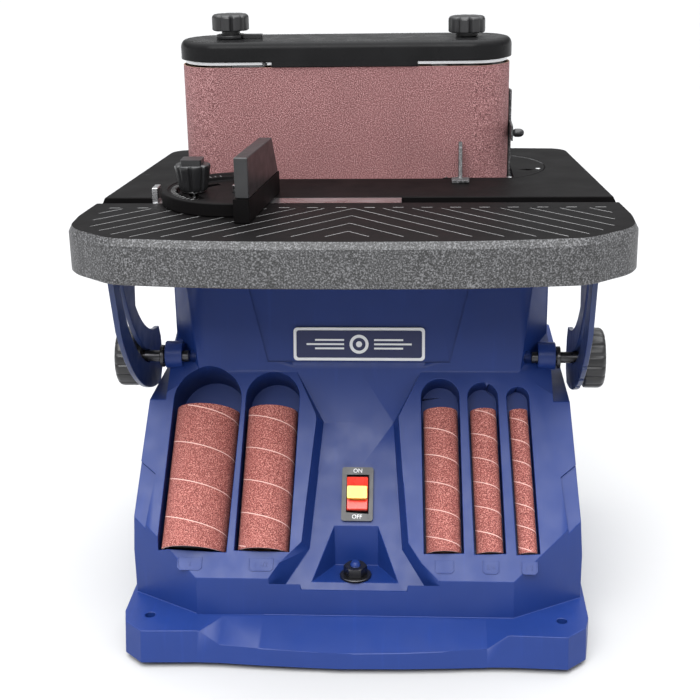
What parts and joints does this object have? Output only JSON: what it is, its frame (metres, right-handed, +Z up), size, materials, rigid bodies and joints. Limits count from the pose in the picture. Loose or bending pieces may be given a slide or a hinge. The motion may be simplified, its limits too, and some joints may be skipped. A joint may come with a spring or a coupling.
{
  "type": "oscillating belt and spindle sander",
  "caption": "Benchtop sander: moulded base with stored sleeves, tilting slotted table, mitre gauge and an upright oscillating sanding belt.",
  "frame": {"origin": "on the supporting surface, below the centre of the bounding box", "axes": "+Z up, +X to the operator's right (the table's width), +Y away from the operator; the operator stands on the -Y side"},
  "size_m": [0.4078, 0.38, 0.4594],
  "materials": {
    "blue_plastic": "moulded, fine grain",
    "blue_steel": "satin paint",
    "black_coat": "textured powder coat",
    "black_plastic": "satin moulded",
    "steel": "bright zinc",
    "dark_steel": "dark zinc",
    "aluminium": "machined casting",
    "belt_abrasive": "coated abrasive cloth",
    "red_abrasive": "coated abrasive cloth",
    "rubber": "matt",
    "white_plastic": "satin",
    "red_plastic": "gloss",
    "yellow_plastic": "gloss"
  },
  "bodies": {
    "housing": {"housing": "blue_plastic", "base_plate": "steel", "rubber_foot_1": "rubber", "rubber_foot_2": "rubber", "rubber_foot_3": "rubber", "rubber_foot_4": "rubber", "badge_plate": "white_plastic", "switch_bezel": "black_plastic", "switch_body": "black_plastic", "storage_stud": "blue_plastic", "storage_washer": "dark_steel", "storage_nut": "dark_steel", "dust_port": "black_plastic", "rear_vent_cover": "black_plastic", "cord_gland": "black_plastic", "motor_can": "dark_steel", "motor_mount": "steel", "gearbox_housing": "aluminium", "guide_rod_left": "steel", "guide_rod_right": "steel", "trunnion_stud_left": "dark_steel", "trunnion_stud_right": "dark_steel"},
    "table": {"table_top": "black_coat", "throat_insert": "black_coat", "work_stop": "black_coat", "trunnion_left": "blue_steel", "trunnion_right": "blue_steel"},
    "tilt_lock_left": {"tilt_knob_left": "black_plastic"},
    "tilt_lock_right": {"tilt_knob_right": "black_plastic"},
    "mitre_slider": {"mitre_bar": "steel"},
    "mitre_protractor": {"mitre_head": "black_coat", "mitre_fence": "black_plastic"},
    "mitre_lock": {"mitre_knob": "black_plastic"},
    "carriage": {"carriage": "aluminium", "lower_bearing": "steel", "upper_bearing": "steel", "belt_frame": "steel", "sanding_belt": "belt_abrasive", "platen": "steel", "belt_cover": "black_plastic", "belt_guard": "black_coat", "tension_spring": "black_plastic"},
    "guard_screw": {"guard_knob": "black_plastic"},
    "spindle": {"spindle_shaft": "steel", "drive_drum": "aluminium"},
    "motor_rotor": {"motor_rotor": "steel"},
    "worm_wheel": {"worm_wheel": "steel"},
    "idler_arm": {"idler_bracket": "steel"},
    "idler": {"idler_drum": "aluminium"},
    "tension_lever": {"tension_lever": "black_plastic"},
    "tracking_knob": {"tracking_knob": "black_plastic"},
    "spindle_knob": {"spindle_knob": "black_plastic"},
    "switch_rocker": {"switch_rocker": "red_plastic"},
    "safety_key": {"safety_key": "yellow_plastic"},
    "stored_sleeve_2in": {"sleeve_2in": "red_abrasive", "rubber_drum_2in": "rubber"},
    "stored_sleeve_1_5in": {"sleeve_1_5in": "red_abrasive"},
    "stored_sleeve_1in": {"sleeve_1in": "red_abrasive"},
    "stored_sleeve_0_75in": {"sleeve_0_75in": "red_abrasive"},
    "stored_sleeve_0_5in": {"sleeve_0_5in": "red_abrasive"}
  },
  "joints": [
    {"name": "table_tilt", "type": "hinge", "parent": "housing", "child": "table", "pos_m": [0, 0.021, 0.33], "axis": [1, 0, 0], "range_deg": [0, 45]},
    {"name": "tilt_knob_left_turn", "type": "hinge", "parent": "housing", "child": "tilt_lock_left", "pos_m": [-0.185, -0.038, 0.198], "axis": [-1, 0, 0], "range_deg": [-360, 0]},
    {"name": "tilt_knob_right_turn", "type": "hinge", "parent": "housing", "child": "tilt_lock_right", "pos_m": [0.185, -0.038, 0.198], "axis": [1, 0, 0], "range_deg": [-360, 0]},
    {"name": "mitre_slide", "type": "slide", "parent": "table", "child": "mitre_slider", "axis": [1, 0, 0], "range_m": [-0.04, 0.145]},
    {"name": "mitre_swivel", "type": "hinge", "parent": "mitre_slider", "child": "mitre_protractor", "pos_m": [-0.09, -0.05325, 0.333], "axis": [0, 0, 1], "range_deg": [-39, 51]},
    {"name": "mitre_knob_turn", "type": "hinge", "parent": "mitre_slider", "child": "mitre_lock", "pos_m": [-0.124, -0.05325, 0.35], "axis": [0, 0, 1], "range_deg": [0, 360]},
    {"name": "oscillation", "type": "slide", "parent": "housing", "child": "carriage", "axis": [0, 0, 1], "range_m": [-0.014, 0.002]},
    {"name": "guard_knob_turn", "type": "hinge", "parent": "carriage", "child": "guard_screw", "pos_m": [0.128, 0.036, 0.365], "axis": [1, 0, 0], "range_deg": [0, 360]},
    {"name": "spindle_spin", "type": "hinge", "parent": "carriage", "child": "spindle", "pos_m": [0.0885, 0.0625, 0.35], "axis": [0, 0, 1], "continuous": true},
    {"name": "rotor_spin", "type": "hinge", "parent": "housing", "child": "motor_rotor", "pos_m": [0.0885, 0.0625, 0.1], "axis": [0, 0, 1], "continuous": true},
    {"name": "worm_wheel_spin", "type": "hinge", "parent": "housing", "child": "worm_wheel", "pos_m": [-0.029, 0.03, 0.14], "axis": [0, -1, 0], "continuous": true},
    {"name": "idler_slide", "type": "slide", "parent": "carriage", "child": "idler_arm", "axis": [1, 0, 0], "range_m": [0, 0.004]},
    {"name": "idler_spin", "type": "hinge", "parent": "idler_arm", "child": "idler", "pos_m": [-0.1145, 0.0625, 0.35], "axis": [0, 0, 1], "continuous": true},
    {"name": "tension_lever_turn", "type": "hinge", "parent": "carriage", "child": "tension_lever", "pos_m": [-0.107, 0.0625, 0.441], "axis": [0, 0, 1], "range_deg": [0, 90]},
    {"name": "tracking_knob_turn", "type": "hinge", "parent": "carriage", "child": "tracking_knob", "pos_m": [-0.107, 0.0625, 0.45], "axis": [0, 0, 1], "range_deg": [-180, 180]},
    {"name": "spindle_knob_turn", "type": "hinge", "parent": "carriage", "child": "spindle_knob", "pos_m": [0.086, 0.0625, 0.45], "axis": [0, 0, 1], "range_deg": [0, 360]},
    {"name": "switch_rock", "type": "hinge", "parent": "housing", "child": "switch_rocker", "pos_m": [0.0006, -0.09613, 0.10304], "axis": [1, 0, 0], "range_deg": [-14, 0]},
    {"name": "safety_key_pull", "type": "slide", "parent": "switch_rocker", "child": "safety_key", "axis": [0, -0.7738, 0.6334], "range_m": [0, 0.016]},
    {"name": "lift_sleeve_2in", "type": "slide", "parent": "housing", "child": "stored_sleeve_2in", "axis": [0, -0.7738, 0.6334], "range_m": [0, 0.01]},
    {"name": "lift_sleeve_1_5in", "type": "slide", "parent": "housing", "child": "stored_sleeve_1_5in", "axis": [0, -0.7738, 0.6334], "range_m": [0, 0.013]},
    {"name": "lift_sleeve_1in", "type": "slide", "parent": "housing", "child": "stored_sleeve_1in", "axis": [0, -0.7738, 0.6334], "range_m": [0, 0.016]},
    {"name": "lift_sleeve_0_75in", "type": "slide", "parent": "housing", "child": "stored_sleeve_0_75in", "axis": [0, -0.7738, 0.6334], "range_m": [0, 0.017]},
    {"name": "lift_sleeve_0_5in", "type": "slide", "parent": "housing", "child": "stored_sleeve_0_5in", "axis": [0, -0.7738, 0.6334], "range_m": [0, 0.018]}
  ],
  "couplings": [
    {"joint": "rotor_spin", "follows": "spindle_spin", "ratio": 1},
    {"joint": "idler_spin", "follows": "spindle_spin", "ratio": 1},
    {"joint": "worm_wheel_spin", "follows": "spindle_spin", "ratio": 0.033333},
    {"joint": "tension_lever_turn", "follows": "idler_slide", "rad_per_m": 392.7}
  ]
}
